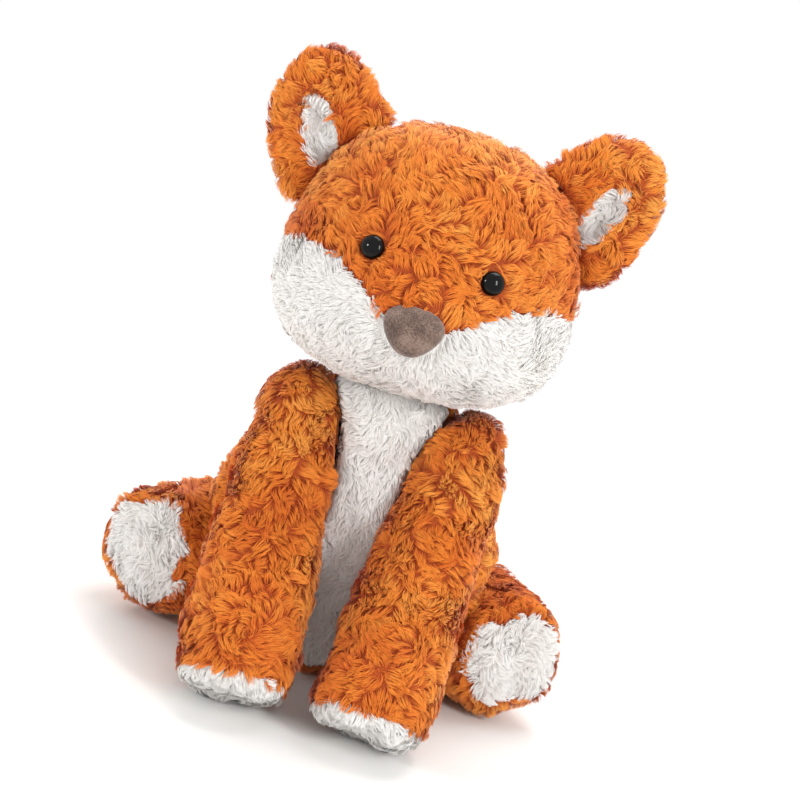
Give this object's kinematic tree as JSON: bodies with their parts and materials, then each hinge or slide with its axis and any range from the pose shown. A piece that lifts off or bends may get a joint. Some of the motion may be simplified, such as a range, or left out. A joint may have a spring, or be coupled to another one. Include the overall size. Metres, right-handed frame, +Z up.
{
  "type": "plush fox",
  "caption": "Seated stuffed fox in curly orange pile with white cheeks, bib and soles, domed black eyes, a suede nose, upright ears and a full tail; legs, head, ears and tail move.",
  "frame": {"origin": "on the table under the middle of the body, on the flat seat", "axes": "+Z up, the face looks along -Y, the fox's left side is at +X"},
  "size_m": [0.2572, 0.3051, 0.3226],
  "materials": {
    "orange_pile": "curly pile",
    "white_pile": "short pile",
    "stuffing": "loose fibre",
    "eye_black": "polished",
    "washer_white": "moulded",
    "nose_suede": "suede"
  },
  "bodies": {
    "body": {"back_panel": "orange_pile", "bib_panel": "white_pile", "body_stuffing": "stuffing"},
    "head": {"crown_panel": "orange_pile", "cheek_panel": "white_pile", "head_stuffing": "stuffing", "nose": "nose_suede", "eye_left": "eye_black", "eye_right": "eye_black", "eye_washer_left": "washer_white", "eye_washer_right": "washer_white"},
    "ear_left": {"ear_left": "orange_pile", "ear_lining_left": "white_pile"},
    "ear_right": {"ear_right": "orange_pile", "ear_lining_right": "white_pile"},
    "front_leg_left": {"front_leg_left_sleeve": "orange_pile", "front_leg_left_sole": "white_pile", "front_leg_left_stuffing": "stuffing"},
    "front_leg_right": {"front_leg_right_sleeve": "orange_pile", "front_leg_right_sole": "white_pile", "front_leg_right_stuffing": "stuffing"},
    "hind_leg_left": {"hind_leg_left_sleeve": "orange_pile", "hind_leg_left_sole": "white_pile", "hind_leg_left_stuffing": "stuffing"},
    "hind_leg_right": {"hind_leg_right_sleeve": "orange_pile", "hind_leg_right_sole": "white_pile", "hind_leg_right_stuffing": "stuffing"},
    "tail": {"tail_sleeve": "orange_pile", "tail_tip": "white_pile", "tail_stuffing": "stuffing"}
  },
  "joints": [
    {"name": "head_nod", "type": "hinge", "parent": "body", "child": "head", "pos_m": [0, -0.008, 0.149], "axis": [1, 0, 0], "range_deg": [-10, 10], "stiffness_Nm_per_rad": 0.8},
    {"name": "ear_left_fold", "type": "hinge", "parent": "head", "child": "ear_left", "pos_m": [0.0585, -0.00233, 0.2673], "axis": [-0.515, 0.1488, 0.8441], "range_deg": [-12, 12], "stiffness_Nm_per_rad": 0.03},
    {"name": "ear_right_fold", "type": "hinge", "parent": "head", "child": "ear_right", "pos_m": [-0.0585, -0.00233, 0.2673], "axis": [0.515, 0.1488, 0.8441], "range_deg": [-12, 12], "stiffness_Nm_per_rad": 0.03},
    {"name": "shoulder_left", "type": "hinge", "parent": "body", "child": "front_leg_left", "pos_m": [0.045, -0.022, 0.1455], "axis": [-1, 0, 0], "range_deg": [0, 40], "stiffness_Nm_per_rad": 0.1},
    {"name": "shoulder_right", "type": "hinge", "parent": "body", "child": "front_leg_right", "pos_m": [-0.045, -0.022, 0.1455], "axis": [-1, 0, 0], "range_deg": [0, 40], "stiffness_Nm_per_rad": 0.1},
    {"name": "hip_left", "type": "hinge", "parent": "body", "child": "hind_leg_left", "pos_m": [0.054, 0.026, 0.0395], "axis": [-1, 0, 0], "range_deg": [0, 25], "stiffness_Nm_per_rad": 0.15},
    {"name": "hip_right", "type": "hinge", "parent": "body", "child": "hind_leg_right", "pos_m": [-0.054, 0.026, 0.0395], "axis": [-1, 0, 0], "range_deg": [0, 25], "stiffness_Nm_per_rad": 0.15},
    {"name": "tail_wag", "type": "hinge", "parent": "body", "child": "tail", "pos_m": [0, 0.062, 0.023], "axis": [0, 0, 1], "range_deg": [-20, 20], "stiffness_Nm_per_rad": 0.1}
  ]
}
